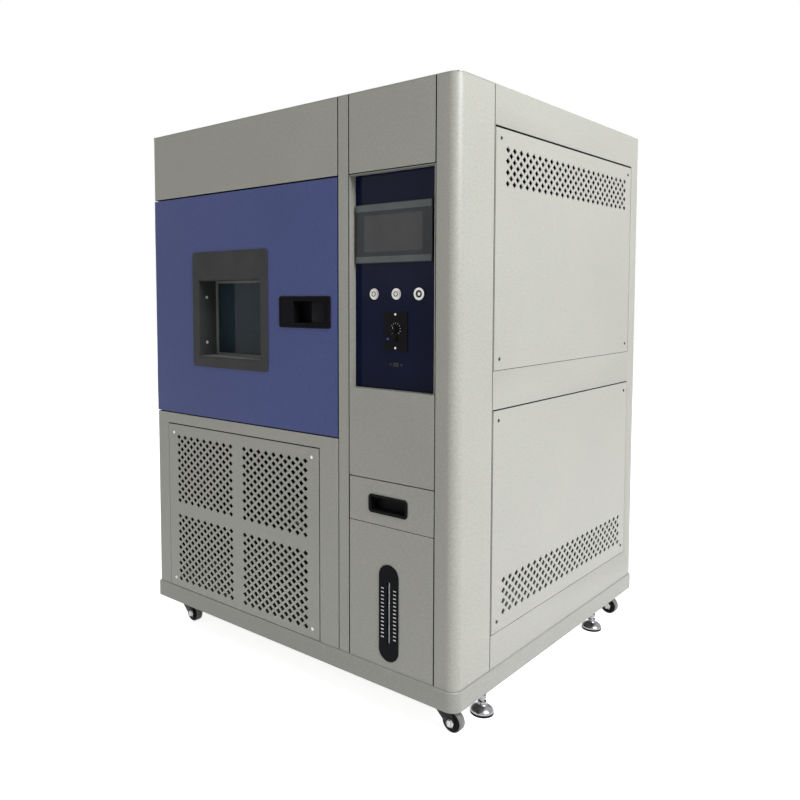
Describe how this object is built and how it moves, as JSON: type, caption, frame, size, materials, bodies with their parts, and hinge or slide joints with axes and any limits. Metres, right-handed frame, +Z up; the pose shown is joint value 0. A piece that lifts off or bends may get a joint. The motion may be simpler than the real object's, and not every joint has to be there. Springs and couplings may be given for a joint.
{
  "type": "environmental test chamber",
  "caption": "Wheeled floor-standing ozone-type environmental test chamber with a windowed hinged door, latch, touch panel, drawer, level gauge and louvred casing.",
  "frame": {"origin": "bottom centre of the overall box, on the floor that the levelling feet stand on", "axes": "+Z up, +X to the right of someone facing the door, +Y from the door to the back"},
  "size_m": [1.087, 1.037, 1.475],
  "materials": {
    "body_paint": "semi-gloss warm grey powder coat",
    "door_paint": "semi-gloss slate blue powder coat",
    "plinth_paint": "semi-gloss warm grey powder coat",
    "stainless": "brushed",
    "zinc_plate": "zinc plated",
    "screw_steel": "plated",
    "foot_chrome": "polished",
    "control_acrylic": "gloss",
    "screen_housing": "satin",
    "fitting_plastic": "satin",
    "button_cap": "gloss",
    "thermostat_plate": "satin",
    "thermostat_knob": "satin",
    "reset_cap": "gloss",
    "window_frame": "fine grain",
    "pane": "clear",
    "silicone": "matt",
    "latch_black": "satin",
    "pull_black": "satin",
    "gauge_plate": "satin",
    "gauge_tube": "clear",
    "motor_paint": "matt",
    "blade_metal": "mill finish",
    "heater_metal": "heat tinted",
    "unit_metal": "matt black",
    "generator_paint": "matt",
    "tank_plastic": "translucent",
    "gland_plastic": "matt",
    "foot_rubber": "matt",
    "caster_steel": "zinc plated",
    "wheel_plastic": "satin"
  },
  "bodies": {
    "cabinet": {"base_frame": "plinth_paint", "casing_panels": "body_paint", "top_panels": "body_paint", "upright_strip": "body_paint", "corner_post": "body_paint", "right_side_frame": "body_paint", "side_vent_panels": "body_paint", "front_lower_frame": "body_paint", "front_vent_panel": "body_paint", "panel_screws": "screw_steel", "control_surround": "body_paint", "control_panel": "control_acrylic", "touch_screen": "screen_housing", "panel_fittings": "fitting_plastic", "thermostat_plate": "thermostat_plate", "low_front_panel": "body_paint", "gauge_plate": "gauge_plate", "gauge_tube": "gauge_tube", "door_frame": "stainless", "chamber_liner": "stainless", "duct_panel": "stainless", "drive_motors": "motor_paint", "heater": "heater_metal", "condensing_unit": "unit_metal", "ozone_generator": "generator_paint", "water_tank": "tank_plastic", "cable_gland": "gland_plastic", "drawer_housing": "zinc_plate", "hinge_straps": "zinc_plate", "caster_plates": "zinc_plate"},
    "door": {"door_shell": "door_paint", "door_liner": "stainless", "window_frame": "window_frame", "window_panes": "pane", "door_gasket": "silicone", "latch_body": "latch_black", "hinge_leaves": "zinc_plate"},
    "drawer": {"drawer_front": "body_paint", "drawer_tray": "zinc_plate", "drawer_pull": "pull_black"},
    "power_button": {"power_button": "button_cap"},
    "run_button": {"run_button": "button_cap"},
    "thermostat_knob": {"thermostat_knob": "thermostat_knob"},
    "thermostat_reset": {"thermostat_reset": "reset_cap"},
    "circulation_fan": {"circulation_fan": "blade_metal"},
    "condenser_fan": {"condenser_fan": "blade_metal"},
    "specimen_carousel": {"specimen_carousel": "stainless"},
    "latch_paddle": {"latch_paddle": "latch_black"},
    "levelling_foot_front_right": {"levelling_foot_front_right": "foot_chrome"},
    "caster_fork_front_right": {"caster_fork_front_right": "caster_steel"},
    "caster_wheel_front_right": {"caster_wheel_front_right": "wheel_plastic"},
    "levelling_foot_front_left": {"levelling_foot_front_left": "foot_chrome"},
    "caster_fork_front_left": {"caster_fork_front_left": "caster_steel"},
    "caster_wheel_front_left": {"caster_wheel_front_left": "wheel_plastic"},
    "levelling_foot_rear_right": {"levelling_foot_rear_right": "foot_chrome"},
    "caster_fork_rear_right": {"caster_fork_rear_right": "caster_steel"},
    "caster_wheel_rear_right": {"caster_wheel_rear_right": "wheel_plastic"},
    "levelling_foot_rear_left": {"levelling_foot_rear_left": "foot_chrome"},
    "caster_fork_rear_left": {"caster_fork_rear_left": "caster_steel"},
    "caster_wheel_rear_left": {"caster_wheel_rear_left": "wheel_plastic"}
  },
  "joints": [
    {"name": "door_hinge", "type": "hinge", "parent": "cabinet", "child": "door", "pos_m": [-0.5365, -0.5005, 0.97], "axis": [0, 0, -1], "range_deg": [0, 110]},
    {"name": "latch_pull", "type": "hinge", "parent": "door", "child": "latch_paddle", "pos_m": [0.1585, -0.5135, 0.9605], "axis": [0, 0, 1], "range_deg": [0, 25], "stiffness_Nm_per_rad": 0.5, "springref_deg": -5.73},
    {"name": "drawer_slide", "type": "slide", "parent": "cabinet", "child": "drawer", "axis": [0, -1, 0], "range_m": [0, 0.24]},
    {"name": "power_press", "type": "slide", "parent": "cabinet", "child": "power_button", "axis": [0, 1, 0], "range_m": [0, 0.0025], "stiffness_N_per_m": 400, "springref_m": -0.001},
    {"name": "run_press", "type": "slide", "parent": "cabinet", "child": "run_button", "axis": [0, 1, 0], "range_m": [0, 0.0025], "stiffness_N_per_m": 400, "springref_m": -0.001},
    {"name": "thermostat_turn", "type": "hinge", "parent": "cabinet", "child": "thermostat_knob", "pos_m": [0.36125, -0.4955, 0.924], "axis": [0, 1, 0], "range_deg": [-135, 135]},
    {"name": "reset_press", "type": "slide", "parent": "cabinet", "child": "thermostat_reset", "axis": [0, 1, 0], "range_m": [0, 0.002], "stiffness_N_per_m": 400, "springref_m": -0.001},
    {"name": "circulation_fan_spin", "type": "hinge", "parent": "cabinet", "child": "circulation_fan", "pos_m": [-0.1675, 0.1345, 0.965], "axis": [0, 1, 0], "continuous": true},
    {"name": "condenser_fan_spin", "type": "hinge", "parent": "cabinet", "child": "condenser_fan", "pos_m": [-0.2175, -0.1455, 0.207], "axis": [0, 1, 0], "continuous": true},
    {"name": "carousel_turn", "type": "hinge", "parent": "cabinet", "child": "specimen_carousel", "pos_m": [-0.1675, -0.1735, 1.165], "axis": [0, 0, 1], "continuous": true},
    {"name": "caster_swivel_front_right", "type": "hinge", "parent": "cabinet", "child": "caster_fork_front_right", "pos_m": [0.4745, -0.4595, 0.07], "axis": [0, 0, 1], "continuous": true},
    {"name": "caster_roll_front_right", "type": "hinge", "parent": "caster_fork_front_right", "child": "caster_wheel_front_right", "pos_m": [0.5025, -0.4595, 0.027], "axis": [0, 1, 0], "continuous": true},
    {"name": "caster_swivel_front_left", "type": "hinge", "parent": "cabinet", "child": "caster_fork_front_left", "pos_m": [-0.4615, -0.4595, 0.07], "axis": [0, 0, 1], "continuous": true},
    {"name": "caster_roll_front_left", "type": "hinge", "parent": "caster_fork_front_left", "child": "caster_wheel_front_left", "pos_m": [-0.4335, -0.4595, 0.027], "axis": [0, 1, 0], "continuous": true},
    {"name": "caster_swivel_rear_right", "type": "hinge", "parent": "cabinet", "child": "caster_fork_rear_right", "pos_m": [0.4745, 0.4405, 0.07], "axis": [0, 0, 1], "continuous": true},
    {"name": "caster_roll_rear_right", "type": "hinge", "parent": "caster_fork_rear_right", "child": "caster_wheel_rear_right", "pos_m": [0.5025, 0.4405, 0.027], "axis": [0, 1, 0], "continuous": true},
    {"name": "caster_swivel_rear_left", "type": "hinge", "parent": "cabinet", "child": "caster_fork_rear_left", "pos_m": [-0.4615, 0.4405, 0.07], "axis": [0, 0, 1], "continuous": true},
    {"name": "caster_roll_rear_left", "type": "hinge", "parent": "caster_fork_rear_left", "child": "caster_wheel_rear_left", "pos_m": [-0.4335, 0.4405, 0.027], "axis": [0, 1, 0], "continuous": true},
    {"name": "foot_height_front_right", "type": "slide", "parent": "cabinet", "child": "levelling_foot_front_right", "axis": [0, 0, -1], "range_m": [-0.012, 0.015]},
    {"name": "foot_height_front_left", "type": "slide", "parent": "cabinet", "child": "levelling_foot_front_left", "axis": [0, 0, -1], "range_m": [-0.012, 0.015]},
    {"name": "foot_height_rear_right", "type": "slide", "parent": "cabinet", "child": "levelling_foot_rear_right", "axis": [0, 0, -1], "range_m": [-0.012, 0.015]},
    {"name": "foot_height_rear_left", "type": "slide", "parent": "cabinet", "child": "levelling_foot_rear_left", "axis": [0, 0, -1], "range_m": [-0.012, 0.015]}
  ]
}
